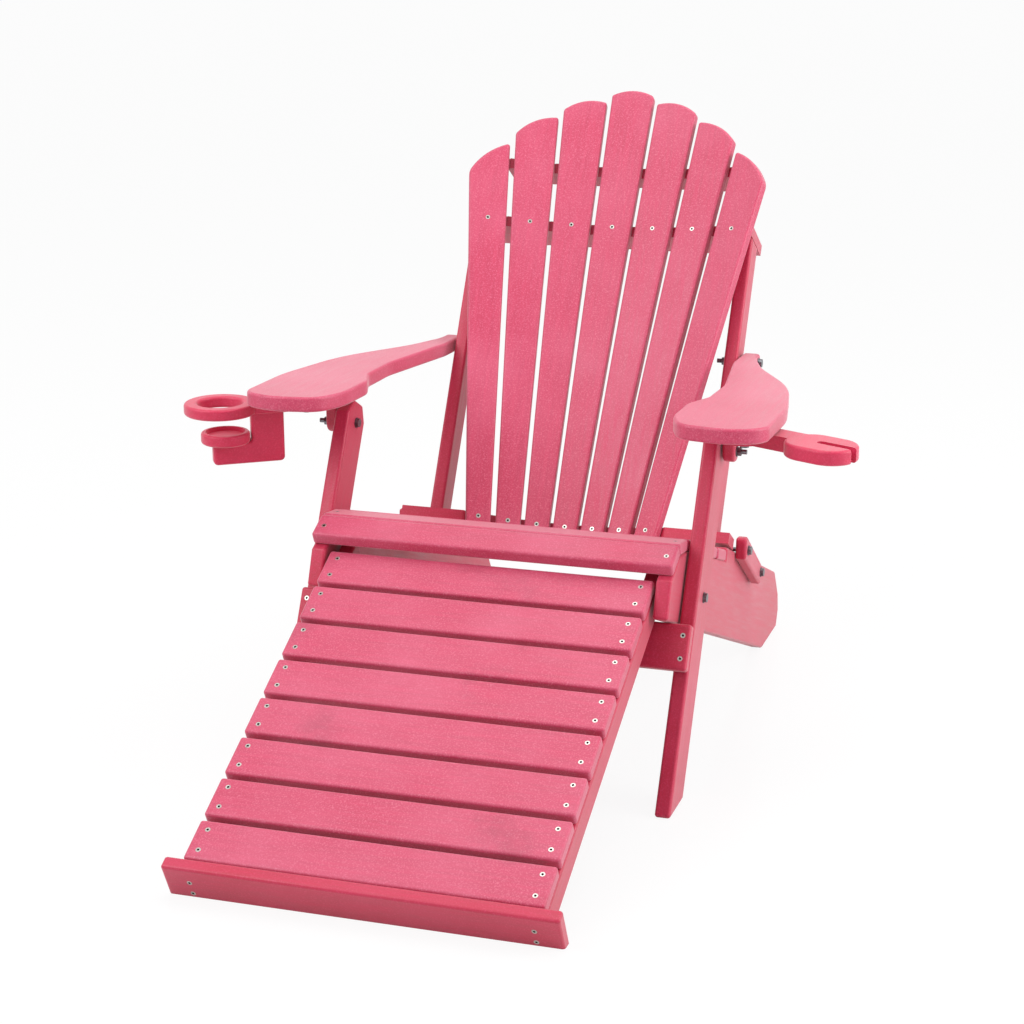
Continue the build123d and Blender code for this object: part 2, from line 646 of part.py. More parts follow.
upright_in = UPRIGHT_OUT - UPRIGHT_T
rail_half = SEAT_HALF - RAIL_END_GAP
rail = brace(rail_half, BOW_LOW, RAIL_FRONT, RAIL_REAR, 0)
notch_in = upright_in - WASHER_H - NUT_H - TAIL
with BuildPart() as rail_cut:
    add(rail)
    for sign in (1, -1):
        with BuildSketch(brace_plane(-SLAT)):
            with Locations((sign * (notch_in + SEAT_HALF) / 2, (RAIL_STEP + RAIL_REAR + SLAT) / 2)):
                Rectangle(SEAT_HALF - notch_in, RAIL_REAR + SLAT - RAIL_STEP)
        extrude(amount=2 * SLAT, mode=Mode.SUBTRACT)
mid_brace = brace(MID_BRACE_HALF, BOW_HIGH, NO_LIMIT, MID_BRACE_REAR, SCREW_SPAN)
upper_radius = bow_radius(UPPER_BRACE_HEIGHT)
upper_rear = SLAT + UPPER_BRACE_W
upper_brace = brace(UPPER_BRACE_HALF, upper_radius, NO_LIMIT, upper_rear, UPPER_BRACE_HEIGHT)
save(bore_screws(rail_cut.part, slat_screws[0::2]), "lower_back_rail")
save(bore_screws(mid_brace, slat_screws[1::2]), "mid_back_brace")
save(upper_brace, "upper_back_brace")
group([screw(p) for p in slat_screws], "back_screws")

# Uprights: from the links up to the mid brace, with the arms bolted to their sides
upright_angle = degrees(atan2(ARM_REAR_PIVOT[1] - BACK_PIVOT[1], ARM_REAR_PIVOT[0] - BACK_PIVOT[0]))
brace_low = on_back(0, SCREW_SPAN - SLAT / 2 - SEAT_GAP)


def to_brace(offset):
    """Where a line along the upright, at a distance ahead of its middle, meets the mid brace."""
    start = along(BACK_PIVOT, upright_angle + 90, offset)
    run = (brace_low[0] - start[0]) * back_dir[0] + (brace_low[1] - start[1]) * back_dir[1]
    return along(start, upright_angle, run / cos(radians(upright_angle - BACK_ANGLE)))


upright_half = UPRIGHT_W / 2
low_front = along(BACK_PIVOT, upright_angle + 90, upright_half)
low_rear = along(BACK_PIVOT, upright_angle - 90, upright_half)
with BuildPart() as upright:
    with BuildSketch(Plane.YZ.offset(upright_in)):
        with BuildLine():
            Polyline(low_front, to_brace(upright_half), to_brace(-upright_half), low_rear)
            ThreePointArc(low_rear, along(BACK_PIVOT, upright_angle + 180, upright_half), low_front)
        make_face()
    extrude(amount=UPRIGHT_T)
    fillet(upright.faces().filter_by(Axis.X).edges(), ROUND)
upright_cut = drill(upright.part, upright_in, UPRIGHT_OUT, BACK_PIVOT, BOLT_R + FIT)
upright_cut = drill(upright_cut, upright_in, UPRIGHT_OUT, ARM_REAR_PIVOT, BOLT_R)
save_pair(upright_cut, "upright")
with BuildPart() as tail_nut:
    add(rod(UPRIGHT_OUT, upright_in - WASHER_H - NUT_H - TAIL, ARM_REAR_PIVOT, BOLT_R))
    add(rod(upright_in, upright_in - WASHER_H, ARM_REAR_PIVOT, WASHER_R))
    with BuildSketch(Plane.YZ.offset(upright_in - WASHER_H)):
        with Locations(ARM_REAR_PIVOT):
            RegularPolygon(NUT_R, 6)
    extrude(amount=-NUT_H)
group([tail_nut.part, mirror(tail_nut.part, about=Plane.YZ)], "upright_nuts")

# Links: dog-leg plates outside the stringers that lift the back as the chair folds
link_in = SEAT_HALF + LINK_GAP
link_out = link_in + LINK_T
link_half = LINK_W / 2
link_dir = degrees(atan2(BACK_PIVOT[1] - LINK_PIVOT[1], BACK_PIVOT[0] - LINK_PIVOT[0]))
link_outline = [
    along(along(LINK_PIVOT, link_dir + 90, link_half), link_dir + 180, link_half * 0.7),
    along(along(BACK_PIVOT, link_dir + 90, link_half), link_dir, -2),
    (BACK_PIVOT[0] - link_half, BACK_PIVOT[1] - link_half * 0.55),
    (BACK_PIVOT[0] - link_half * 0.8, BACK_PIVOT[1] + link_half * 1.3),
    (BACK_PIVOT[0] - link_half * 0.1, BACK_PIVOT[1] + link_half * 1.3),
    along(along(LINK_PIVOT, link_dir - 90, link_half * 0.8), link_dir, 6),
    along(along(LINK_PIVOT, link_dir - 90, link_half * 0.6), link_dir + 180, link_half * 0.8),
]
link = prism(link_outline, Plane.YZ.offset(link_in), LINK_T)
link = drill(link, link_in, link_out, BACK_PIVOT, BOLT_R)
link = drill(link, link_in, link_out, LINK_PIVOT, BOLT_R)
save_pair(link, "back_link")
upright_nut_face = upright_in - WASHER_GAP
back_bolt = bolt(link_out, upright_nut_face, BACK_PIVOT, upright_nut_face - short_tail)
link_bolt = bolt(link_out, nut_face, LINK_PIVOT, nut_face - short_tail)
group([back_bolt, mirror(back_bolt, about=Plane.YZ), link_bolt, mirror(link_bolt, about=Plane.YZ)],
      "link_bolts")

# Footrest: slats across two rails, with an end board that stands on the floor
rail_in = FOOT_SLAT_HALF - BOARD
rail_far = (FOOT_SLATS - 1) * FOOT_PITCH + FOOT_SLAT_W / 2
foot_slats = []
foot_screws = []
for i in range(FOOT_SLATS):
    with BuildPart() as foot_slat:
        with BuildSketch(foot_plane):
            with Locations((0, -i * FOOT_PITCH)):
                Rectangle(2 * FOOT_SLAT_HALF, FOOT_SLAT_W)
        extrude(amount=-FOOT_SLAT_T)
        fillet(foot_slat.edges(), ROUND)
    spots = [Plane(origin=foot_plane.from_local_coords((sx, -i * FOOT_PITCH + sy, 0)), x_dir=(1, 0, 0),
                   z_dir=foot_plane.z_dir)
             for sx in (FOOT_SCREW_X, -FOOT_SCREW_X) for sy in (FOOT_SCREW_PAIR / 2, -FOOT_SCREW_PAIR / 2)]
    foot_screws.append(spots)
    save(bore_screws(foot_slat.part, spots), f"footrest_slat_{i + 1}")
with BuildPart() as foot_rail:
    with BuildSketch(Plane(origin=foot_plane.from_local_coords((rail_in, 0, -FOOT_SLAT_T)),
                           x_dir=-foot_plane.y_dir, z_dir=(1, 0, 0))):
        with BuildLine():
            Polyline((-FOOT_RAIL_HEAD, 0), (-FOOT_RAIL_HEAD, FOOT_RAIL_H), (rail_far, FOOT_RAIL_H),
                     (rail_far, 0), close=True)
        make_face()
    extrude(amount=BOARD)
    fillet(foot_rail.edges(), ROUND)
floor_cut = Plane.XY.offset(RAIL_LIFT)
with BuildPart() as rail_level:
    add(foot_rail.part)
    split(bisect_by=floor_cut, keep=Keep.TOP)
end_screw_x = FOOT_SLAT_HALF - BOARD / 2
end_board_low = END_BOARD_H + END_BOARD_SPARE
with BuildPart() as end_board:
    with BuildSketch(Plane(origin=foot_plane.from_local_coords((-END_BOARD_HALF, 0, 0)),
                           x_dir=-foot_plane.y_dir, z_dir=(1, 0, 0))):
        with BuildLine():
            Polyline((rail_far, 0), (rail_far, end_board_low), (rail_far + END_BOARD_T, end_board_low),
                     (rail_far + END_BOARD_T, 0), close=True)
        make_face()
    extrude(amount=2 * END_BOARD_HALF)
    fillet(end_board.edges(), ROUND)
    split(bisect_by=Plane.XY, keep=Keep.TOP)
end_screws = [Plane(origin=foot_plane.from_local_coords((end_screw_x, -rail_far - END_BOARD_T, -down)),
                    x_dir=(1, 0, 0), z_dir=-foot_plane.y_dir)
              for down in (FOOT_SLAT_T + END_SCREW_EDGE, END_BOARD_H - END_SCREW_EDGE)]
all_foot_screws = [p for spots in foot_screws for p in spots] + both_sides(end_screws)
left_screws = [p for p in all_foot_screws if p.origin.X > 0]
pin_plane_in = FOOT_SLAT_HALF - FOOT_PIN_DEEP
rail_done = drill(rail_level.part, pin_plane_in, FOOT_SLAT_HALF, foot_pin_yz, FOOT_PIN_R)
save_pair(bore_screws(rail_done, left_screws), "footrest_rail")
save(bore_screws(end_board.part, both_sides(end_screws)), "footrest_end_board")
group([screw(p) for p in all_foot_screws], "footrest_screws")
foot_pins = rod(pin_plane_in, pin_end, foot_pin_yz, FOOT_PIN_R)
group([foot_pins, mirror(foot_pins, about=Plane.YZ)], "footrest_pivot_pins")

# Holders hang on a bolt under each arm and swing about it
holder_top = pivot_top - HOLDER_GAP


def holder_plane(side, angle, height):
    """Plane at the holder's pivot: x points outwards along its bar and z points up."""
    return Plane(origin=(side * HOLDER_X, HOLDER_Y, height),
                 x_dir=(side * cos(radians(angle)), -sin(radians(angle)), 0), z_dir=(0, 0, 1))


bar_half = HOLDER_BAR_W / 2
cup_top = holder_plane(-1, CUP_ANGLE, holder_top)
with BuildPart() as cup_ring:
    with BuildSketch(cup_top):
        with Locations((HOLDER_REACH, 0)):
            Circle(CUP_RING_R)
        with Locations((HOLDER_REACH / 2, 0)):
            Rectangle(HOLDER_REACH, HOLDER_BAR_W)
        Circle(bar_half)
        with Locations((HOLDER_REACH, 0)):
            Circle(CUP_BORE_R, mode=Mode.SUBTRACT)
        Circle(BOLT_R + FIT, mode=Mode.SUBTRACT)
    extrude(amount=-HOLDER_T)
    flat_faces = cup_ring.faces().filter_by(Axis.Z)
    fillet(flat_faces.edges().filter_by(lambda e: e.length > 4 * HOLDER_T), ROUND)
save(cup_ring.part, "cup_ring")
base_top = holder_top - CUP_BASE_DROP
base_low = base_top - HOLDER_T
with BuildPart() as cup_base:
    with BuildSketch(holder_plane(-1, CUP_ANGLE, base_low)):
        with Locations((HOLDER_REACH - CUP_BASE_IN, 0)):
            Circle(CUP_BASE_R)
    extrude(amount=HOLDER_T)
    fillet(cup_base.edges(), ROUND)
    with BuildSketch(holder_plane(-1, CUP_ANGLE, base_top)):
        with Locations((HOLDER_REACH - CUP_BASE_IN, 0)):
            Circle(CUP_BASE_R - CUP_DISH_WALL)
    extrude(amount=-CUP_DISH_DEEP, mode=Mode.SUBTRACT)
save(cup_base.part, "cup_base")
plate_low = base_low - CUP_PLATE_DEEP
plate_x = HOLDER_REACH - CUP_PLATE_IN
notch_x = HOLDER_REACH - CUP_BASE_IN - CUP_BASE_R - CUP_PLATE_GAP
with BuildPart() as cup_plate:
    with BuildSketch(Plane(origin=cup_top.from_local_coords((0, HOLDER_T / 2, 0)), x_dir=cup_top.x_dir,
                           z_dir=-cup_top.y_dir)) as plate_sketch:
        with BuildLine():
            top_z = -HOLDER_T
            low_z = plate_low - holder_top
            shelf_z = base_low - holder_top
            Polyline((plate_x, top_z), (plate_x, low_z), (HOLDER_REACH + CUP_PLATE_TAIL, low_z),
                     (HOLDER_REACH + CUP_PLATE_TAIL, shelf_z), (notch_x, shelf_z), (notch_x, top_z),
                     close=True)
        make_face()
        fillet(plate_sketch.vertices().group_by(Axis.Y)[0], CUP_PLATE_CORNER)
    extrude(amount=HOLDER_T)
    fillet(cup_plate.edges(), ROUND)
save(cup_plate.part, "cup_bracket")

glass_top = holder_plane(1, GLASS_ANGLE, holder_top)
with BuildPart() as glass_slab:
    with BuildSketch(glass_top):
        with Locations((HOLDER_REACH, 0)):
            RectangleRounded(GLASS_LONG, GLASS_WIDE, GLASS_WIDE / 2 - 1)
    extrude(amount=-GLASS_T)
    fillet(glass_slab.edges().filter_by(lambda e: abs(e.tangent_at(0.5).Z) < 0.5), ROUND)
    with BuildSketch(glass_top):
        with Locations((HOLDER_REACH / 2, GLASS_BAR_SIDE)):
            Rectangle(HOLDER_REACH, GLASS_BAR_W)
        Circle(GLASS_BAR_W / 2 + GLASS_BAR_SIDE)
    extrude(amount=-GLASS_T)
    with BuildSketch(glass_top):
        with Locations((HOLDER_REACH + GLASS_LONG / 2, 0)):
            Rectangle(GLASS_LONG, STEM_W)
        with Locations((HOLDER_REACH, 0)):
            Circle(STEM_W / 2)
        Circle(BOLT_R + FIT)
    extrude(amount=-GLASS_T, mode=Mode.SUBTRACT)
save(glass_slab.part, "glass_holder")


def pivot_bolt(side, thickness):
    """Bolt that hangs a holder: shank up into the arm, washered head under the holder."""
    with BuildPart() as piece:
        low = holder_top - thickness - WASHER_GAP
        for start, end, radius in (
            (low, pivot_top + BOARD - PIVOT_COVER, BOLT_R),
            (low - WASHER_H, low, WASHER_R),
            (low - WASHER_H - NUT_H, low - WASHER_H, NUT_R),
            (holder_top + WASHER_GAP, pivot_top - WASHER_R * tan(radians(ARM_FALL)), WASHER_R),
        ):
            with BuildSketch(Plane.XY.offset(start)):
                with Locations((side * HOLDER_X, HOLDER_Y)):
                    Circle(radius)
            extrude(amount=end - start)
    return piece.part


group([pivot_bolt(-1, HOLDER_T), pivot_bolt(1, GLASS_T)], "holder_pivot_bolts")
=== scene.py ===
import math
import bmesh
import bpy
import numpy as np
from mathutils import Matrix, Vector


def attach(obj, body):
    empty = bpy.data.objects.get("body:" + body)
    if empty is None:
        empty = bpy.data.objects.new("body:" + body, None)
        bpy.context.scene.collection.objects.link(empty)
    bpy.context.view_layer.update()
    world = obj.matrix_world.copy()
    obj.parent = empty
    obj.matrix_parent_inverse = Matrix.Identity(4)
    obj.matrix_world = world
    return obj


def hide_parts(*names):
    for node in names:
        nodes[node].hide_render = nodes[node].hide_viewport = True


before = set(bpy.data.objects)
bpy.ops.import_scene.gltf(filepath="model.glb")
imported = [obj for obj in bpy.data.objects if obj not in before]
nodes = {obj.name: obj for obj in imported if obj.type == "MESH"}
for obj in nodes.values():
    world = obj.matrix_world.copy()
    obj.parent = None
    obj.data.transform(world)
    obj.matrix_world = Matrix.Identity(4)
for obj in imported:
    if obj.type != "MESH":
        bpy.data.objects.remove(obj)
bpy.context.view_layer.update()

# Seat: two stringers that are also the rear legs, with six planks screwed across them.
# Boards are extruded HDPE lumber, coloured right through, with a fine mottled skin that
# is drawn out along the board by the die.
raspberry = ("#AE0834", "#BC0F3E", "#C6325A")         # deep, mid and pale pink of a board
# Painted light: a paler copy of the board colour, for the pieces whose faces turn up to the lamps.
raspberry_lit = ("#B4284E", "#C2355A", "#D06682")    # the same on the paler seat, back and arms
rub_mark = "#6E2A3A"
fleck_mm = 2.5            # coarser than real flecks, so that they show
streak_wide_mm = 6.25
streak_long_mm = 83.3
cloud_mm = 143.0
rub_mm = 182.0
skin_relief = 0.0006      # metres between the skin's low and high spots


def srgb(code):
    """Linear RGBA from an sRGB hex value."""
    parts = [int(code[i:i + 2], 16) / 255 for i in (1, 3, 5)]
    return tuple(v / 12.92 if v <= 0.04045 else ((v + 0.055) / 1.055) ** 2.4 for v in parts) + (1.0,)


def cells(size_mm):
    """Noise cells to the metre, for a pattern whose marks are this size."""
    return 1000.0 / size_mm


def add_node(tree, kind, settings=None, **inputs):
    """Adds a node, sets its properties and inputs, and links each input given as a socket. In an
    input's name _ stands for a space, and _6 is input number 6, for inputs that share a name."""
    node = tree.nodes.new(kind)
    for key, value in (settings or {}).items():
        setattr(node, key, value)
    for key, value in inputs.items():
        socket = node.inputs[int(key[1:])] if key[1:].isdigit() else node.inputs[key.replace("_", " ")]
        if isinstance(value, bpy.types.NodeSocket):
            tree.links.new(value, socket)
        else:
            socket.default_value = value
    return node


def hdpe_lumber(name, pink, shift, slope=None, scuffs=0.0):
    """Extruded HDPE board: a satin skin with pale flecks, faint streaks along the board and soft
    paler clouds. Shift, in metres, gives each kind of board its own stretch of the pattern. Slope
    is the board's slope in the side view, in degrees, or None for a board that runs across the
    chair. Scuffs is how strongly rub marks show."""
    material = bpy.data.materials.new(name)
    material.use_nodes = True
    tree = material.node_tree
    tree.nodes.clear()
    along = cells(streak_long_mm)
    across = cells(streak_wide_mm)
    streak = (along, across, across)
    turn = 0.0
    if slope is not None:
        streak = (across, along, across)
        turn = math.radians(-slope)
    place = add_node(tree, "ShaderNodeTexCoord").outputs["Object"]
    turned = add_node(tree, "ShaderNodeMapping", Vector=place, Location=(shift, shift * 2, 0),
                      Rotation=(turn, 0, 0)).outputs[0]
    drawn = add_node(tree, "ShaderNodeMapping", Vector=turned, Scale=streak).outputs[0]
    grain = add_node(tree, "ShaderNodeTexNoise", Vector=drawn, Scale=1.0, Detail=4.0, Roughness=0.6)
    fleck = add_node(tree, "ShaderNodeTexNoise", Vector=place, Scale=cells(fleck_mm), Detail=2.0,
                     Roughness=0.7)
    cloud = add_node(tree, "ShaderNodeTexNoise", Vector=turned, Scale=cells(cloud_mm), Detail=2.0,
                     Roughness=0.5)
    deep, mid, pale = pink
    base = add_node(tree, "ShaderNodeValToRGB", Fac=grain.outputs["Fac"])
    for stop, position, code in zip(base.color_ramp.elements, (0.30, 0.70), (deep, mid)):
        stop.position = position
        stop.color = srgb(code)
    fleck_share = add_node(tree, "ShaderNodeMapRange", Value=fleck.outputs["Fac"], From_Min=0.50,
                           From_Max=0.72, To_Min=0.0, To_Max=0.85)
    flecked = add_node(tree, "ShaderNodeMix", {"data_type": "RGBA"}, Factor=fleck_share.outputs[0],
                       _6=base.outputs["Color"], _7=srgb(pale))
    cloud_share = add_node(tree, "ShaderNodeMapRange", Value=cloud.outputs["Fac"], From_Min=0.35,
                           From_Max=0.70, To_Min=0.0, To_Max=0.30)
    shaded = add_node(tree, "ShaderNodeMix", {"data_type": "RGBA"}, Factor=cloud_share.outputs[0],
                      _6=flecked.outputs[2], _7=srgb(pale))
    skin = shaded.outputs[2]
    if scuffs:
        rubbed = add_node(tree, "ShaderNodeTexNoise", Vector=turned, Scale=cells(rub_mm), Detail=5.0,
                          Roughness=0.65)
        rub_share = add_node(tree, "ShaderNodeMapRange", Value=rubbed.outputs["Fac"], From_Min=0.58,
                             From_Max=0.78, To_Min=0.0, To_Max=scuffs)
        skin = add_node(tree, "ShaderNodeMix", {"data_type": "RGBA"}, Factor=rub_share.outputs[0],
                        _6=skin, _7=srgb(rub_mark)).outputs[2]
    rough = add_node(tree, "ShaderNodeMapRange", Value=grain.outputs["Fac"], From_Min=0.3, From_Max=0.7,
                     To_Min=0.40, To_Max=0.56)
    height = add_node(tree, "ShaderNodeMath", {"operation": "MULTIPLY_ADD"}, _0=fleck.outputs["Fac"],
                      _1=0.6, _2=grain.outputs["Fac"])
    bump = add_node(tree, "ShaderNodeBump", Strength=0.16, Distance=skin_relief, Height=height.outputs[0])
    shader = add_node(tree, "ShaderNodeBsdfPrincipled", Base_Color=skin, Roughness=rough.outputs[0],
                      Normal=bump.outputs[0], IOR=1.52, Specular_IOR_Level=0.5, Sheen_Weight=0.36,
                      Sheen_Roughness=0.45)
    add_node(tree, "ShaderNodeOutputMaterial", Surface=shader.outputs[0])
    return material


def dress(material, *names):
    """Finishes the frame's own pieces in a material."""
    for name in names:
        piece = nodes[name]
        piece.data.materials.clear()
        piece.data.materials.append(material)


stringer_board = hdpe_lumber("hdpe_stringer_board", raspberry, shift=0.2, slope=-22.0)
dress(stringer_board, "left_stringer", "right_stringer")
# The seat's boards take the paler palette, painted light on their lit tops.
seat_board = hdpe_lumber("hdpe_seat_board", raspberry_lit, shift=0.4, scuffs=0.15)
dress(seat_board, "seat_nosing", *[f"seat_plank_{i}" for i in range(1, 6)])

# Front legs: a pair of boards of the same lumber that turn on the stringers, cut level at the
# floor and clipped at the upper end. A stretcher is screwed across their front edges.
leg_board = hdpe_lumber("hdpe_leg_board", raspberry, shift=0.6, slope=61.5)
dress(leg_board, "left_leg", "right_leg")
stretcher_board = hdpe_lumber("hdpe_stretcher_board", raspberry, shift=0.8)
dress(stretcher_board, "front_stretcher")

# Back links: short dog-leg plates outside the stringers, cut from the same lumber. Each is on
# two bolts, and lifts the back over the seat as the chair folds.
link_board = hdpe_lumber("hdpe_link_board", raspberry, shift=1.0, slope=-34.0)
dress(link_board, "left_back_link", "right_back_link")

# Back: seven tapered slats of the same lumber on a hollow curve, screwed to a lower rail and to
# a brace behind them, with a second brace near their tops and an upright behind each side.
# The slats take the paler palette, painted light on their lit faces.
slat_board = hdpe_lumber("hdpe_back_slat", raspberry_lit, shift=1.2, slope=58.1)
dress(slat_board, *[f"back_slat_{i}" for i in range(1, 8)])
brace_board = hdpe_lumber("hdpe_back_brace", raspberry, shift=1.4)
dress(brace_board, "lower_back_rail", "mid_back_brace", "upper_back_brace")
upright_board = hdpe_lumber("hdpe_upright", raspberry, shift=1.6, slope=61.1)
dress(upright_board, "left_upright", "right_upright")

# Arms: broad paddles of the same lumber with rounded fronts, which narrow to a tail bolted to
# the upright. A thin cleat and a round-ended lug under each one carry the bolt to the leg.
# The arms take the paler palette, painted light on their lit tops.
arm_board = hdpe_lumber("hdpe_arm_board", raspberry_lit, shift=1.8, slope=-2.0)
dress(arm_board, "left_arm", "right_arm")
lug_board = hdpe_lumber("hdpe_lug_board", raspberry, shift=2.0, slope=90.0)
dress(lug_board, "left_arm_cleat", "right_arm_cleat", "left_arm_lug", "right_arm_lug")

# Footrest: eight slats of the same lumber screwed to two rails, and an end board that stands on
# the floor and keeps the heels from sliding off. It turns on a pin in each stringer.
# The footrest slats take the paler palette, painted light on their lit tops.
foot_board = hdpe_lumber("hdpe_footrest_slat", raspberry_lit, shift=2.2, scuffs=0.4)
dress(foot_board, *[f"footrest_slat_{i}" for i in range(1, 9)])
foot_rail_board = hdpe_lumber("hdpe_footrest_rail", raspberry, shift=2.4, slope=26.0)
dress(foot_rail_board, "left_footrest_rail", "right_footrest_rail")
heel_board = hdpe_lumber("hdpe_heel_board", raspberry, shift=2.6)
dress(heel_board, "footrest_end_board")

# Holders: a ring with a dished base on a bent bracket under the right arm, and a slotted slab
# under the left. Each is cut from board and swings on a bolt up into the arm.
raspberry_bright = ("#BC0E3C", "#C81846", "#D23A62")
holder_board = hdpe_lumber("hdpe_holder", raspberry_bright, shift=2.8, slope=0.0)
dress(holder_board, "cup_ring", "cup_bracket", "cup_base", "glass_holder")

# Bolts with their washers and nuts, and the footrest's pins: carbon steel, zinc plated and put
# through holes bored in the boards. The plating has dulled a little outdoors.
bolt_grey = ("#5A5A5E", "#86868B")
# Near black, painted into the screws' square recesses.
recess_black = "#1A1716"
mottle_mm = 3.846


def fastener_steel(name, tone, roughness, recess_dark=None):
    """Plated or stainless steel: a grey metal with a soft uneven sheen. The last argument names
    the mesh attribute that marks where the metal is painted near black."""
    material = bpy.data.materials.new(name)
    material.use_nodes = True
    tree = material.node_tree
    tree.nodes.clear()
    place = add_node(tree, "ShaderNodeTexCoord").outputs["Object"]
    mottle = add_node(tree, "ShaderNodeTexNoise", Vector=place, Scale=cells(mottle_mm), Detail=3.0,
                      Roughness=0.6)
    colour = add_node(tree, "ShaderNodeValToRGB", Fac=mottle.outputs["Fac"])
    for stop, position, code in zip(colour.color_ramp.elements, (0.3, 0.7), tone):
        stop.position = position
        stop.color = srgb(code)
    tint = colour.outputs["Color"]
    if recess_dark:
        # Paints the metal near black where the mesh attribute marks the recess.
        recess_share = add_node(tree, "ShaderNodeAttribute", {"attribute_name": recess_dark})
        tint = add_node(tree, "ShaderNodeMix", {"data_type": "RGBA"}, Factor=recess_share.outputs["Fac"],
                        _6=tint, _7=srgb(recess_black)).outputs[2]
    rough = add_node(tree, "ShaderNodeMapRange", Value=mottle.outputs["Fac"], From_Min=0.3, From_Max=0.7,
                     To_Min=roughness[0], To_Max=roughness[1])
    shader = add_node(tree, "ShaderNodeBsdfPrincipled", Base_Color=tint, Roughness=rough.outputs[0],
                      Metallic=1.0)
    add_node(tree, "ShaderNodeOutputMaterial", Surface=shader.outputs[0])
    return material


bolt_steel = fastener_steel("zinc_plated_bolt", bolt_grey, roughness=(0.28, 0.45))
dress(bolt_steel, "leg_pivot_bolts", "link_bolts", "arm_lug_bolts", "arm_tail_bolts", "upright_nuts",
      "holder_pivot_bolts", "footrest_pivot_pins")

# Wood screws: stainless, flat heads set flush with the boards, each with a square recess for
# the driver, painted near black. One mesh for each set, placed on the frame's own screws.
screw_grey = ("#9A9792", "#C6C3BC")
screw_steel = fastener_steel("stainless_screw", screw_grey, roughness=(0.26, 0.40), recess_dark="recess_dark")
head_sides = 24
head_r = 0.0044
rim_r = head_r * 0.97         # top of the cone under the head
flat_r = head_r * 0.92        # inside the bevelled rim
under_r = head_r * 0.6        # foot of the cone, inside the board
under_deep = 0.0018
rim_deep = 0.0002
proud = 0.00006               # of the flat above the board, at its rim
proud_inside = 0.00003        # the same at the recess
recess_r = 0.0018             # half the square's width
recess_deep = 0.0016
lip_r = recess_r * 0.94
lip_deep = recess_deep * 0.1
recess_floor_r = recess_r * 0.86
most_turn = 1.5               # radians, the most that a head is turned on its axis
same_point = 1e-6             # corners this near are one corner
end_band = 1e-5               # corners this near a screw's end lie on it


def screw_head():
    """One flat head about its own axis, with a bevelled rim and a square recess."""
    # How much of each ring is painted near black: none on the head, all of it down in the recess.
    bare_metal = 0.0
    dark = 1.0
    profile = ((under_r, -under_deep, False, bare_metal),
               (rim_r, -rim_deep, False, bare_metal),
               (flat_r, proud, False, bare_metal),
               (recess_r, proud_inside, True, bare_metal),
               (lip_r, -lip_deep, True, dark),
               (recess_floor_r, -recess_deep, True, dark))
    mesh = bpy.data.meshes.new("screw_head")
    shape = bmesh.new()
    recess_dark = shape.verts.layers.float.new("recess_dark")
    rings = []
    for radius, height, square, shade in profile:
        ring = []
        for i in range(head_sides):
            angle = 2 * math.pi * (i + 0.5) / head_sides
            reach = radius
            if square:
                reach = radius / max(abs(math.cos(angle)), abs(math.sin(angle)))
            vert = shape.verts.new((reach * math.cos(angle), reach * math.sin(angle), height))
            vert[recess_dark] = shade
            ring.append(vert)
        rings.append(ring)
    for low, high in zip(rings, rings[1:]):
        for i in range(head_sides):
            j = (i + 1) % head_sides
            shape.faces.new((low[i], low[j], high[j], high[i]))
    shape.faces.new(rings[-1])
    shape.faces.new(list(reversed(rings[0])))
    bmesh.ops.recalc_face_normals(shape, faces=shape.faces)
    shape.to_mesh(mesh)
    shape.free()
    return mesh


def screw_spots(name):
    """Head centres and outward directions of the screws in one of the frame's nodes, in the order
    of its mesh. A screw's head is its wider end."""
    shape = bmesh.new()
    shape.from_mesh(nodes[name].data)
    bmesh.ops.remove_doubles(shape, verts=shape.verts, dist=same_point)
    seen = set()
    spots = []
    for first in shape.verts:
        if first in seen:
            continue
        seen.add(first)
        stack = [first]
        island = []
        while stack:
            vert = stack.pop()
            island.append(vert.co[:])
            for edge in vert.link_edges:
                other = edge.other_vert(vert)
                if other not in seen:
                    seen.add(other)
                    stack.append(other)
        points = np.array(island)
        middle = (points.min(0) + points.max(0)) / 2
        axis = np.linalg.svd(points - points.mean(0))[2][0]
        reach = (points - middle) @ axis
        span = np.linalg.norm((points - middle) - np.outer(reach, axis), axis=1)
        if span[reach > reach.max() - end_band].mean() < span[reach < reach.min() + end_band].mean():
            axis = -axis
            reach = -reach
        top = points[reach > reach.max() - end_band]
        spots.append(((top.min(0) + top.max(0)) / 2, axis))
    shape.free()
    return spots


head_object = bpy.data.objects.new("screw_head_pattern", screw_head())
screw_tree = bpy.data.node_groups.new("screws_on_boards", "GeometryNodeTree")
for label, way, kind in (("Geometry", "INPUT", "Geometry"), ("Head", "INPUT", "Object"),
                         ("Metal", "INPUT", "Material"), ("Most Turn", "INPUT", "Float"),
                         ("Geometry", "OUTPUT", "Geometry")):
    screw_tree.interface.new_socket(label, in_out=way, socket_type="NodeSocket" + kind)
entry = add_node(screw_tree, "NodeGroupInput")
facing = add_node(screw_tree, "GeometryNodeInputNamedAttribute", {"data_type": "FLOAT_VECTOR"},
                  Name="facing")
aim = add_node(screw_tree, "FunctionNodeAlignRotationToVector", {"axis": "Z"},
               Vector=facing.outputs["Attribute"])
head_info = add_node(screw_tree, "GeometryNodeObjectInfo", Object=entry.outputs["Head"])
spin = add_node(screw_tree, "FunctionNodeRandomValue", {"data_type": "FLOAT"}, Seed=7, _2=0.0,
                _3=entry.outputs["Most Turn"])
twist = add_node(screw_tree, "FunctionNodeAxisAngleToRotation", Axis=(0, 0, 1), Angle=spin.outputs[1])
turned_head = add_node(screw_tree, "FunctionNodeRotateRotation", {"rotation_space": "LOCAL"},
                       Rotation=aim.outputs[0], Rotate_By=twist.outputs[0])
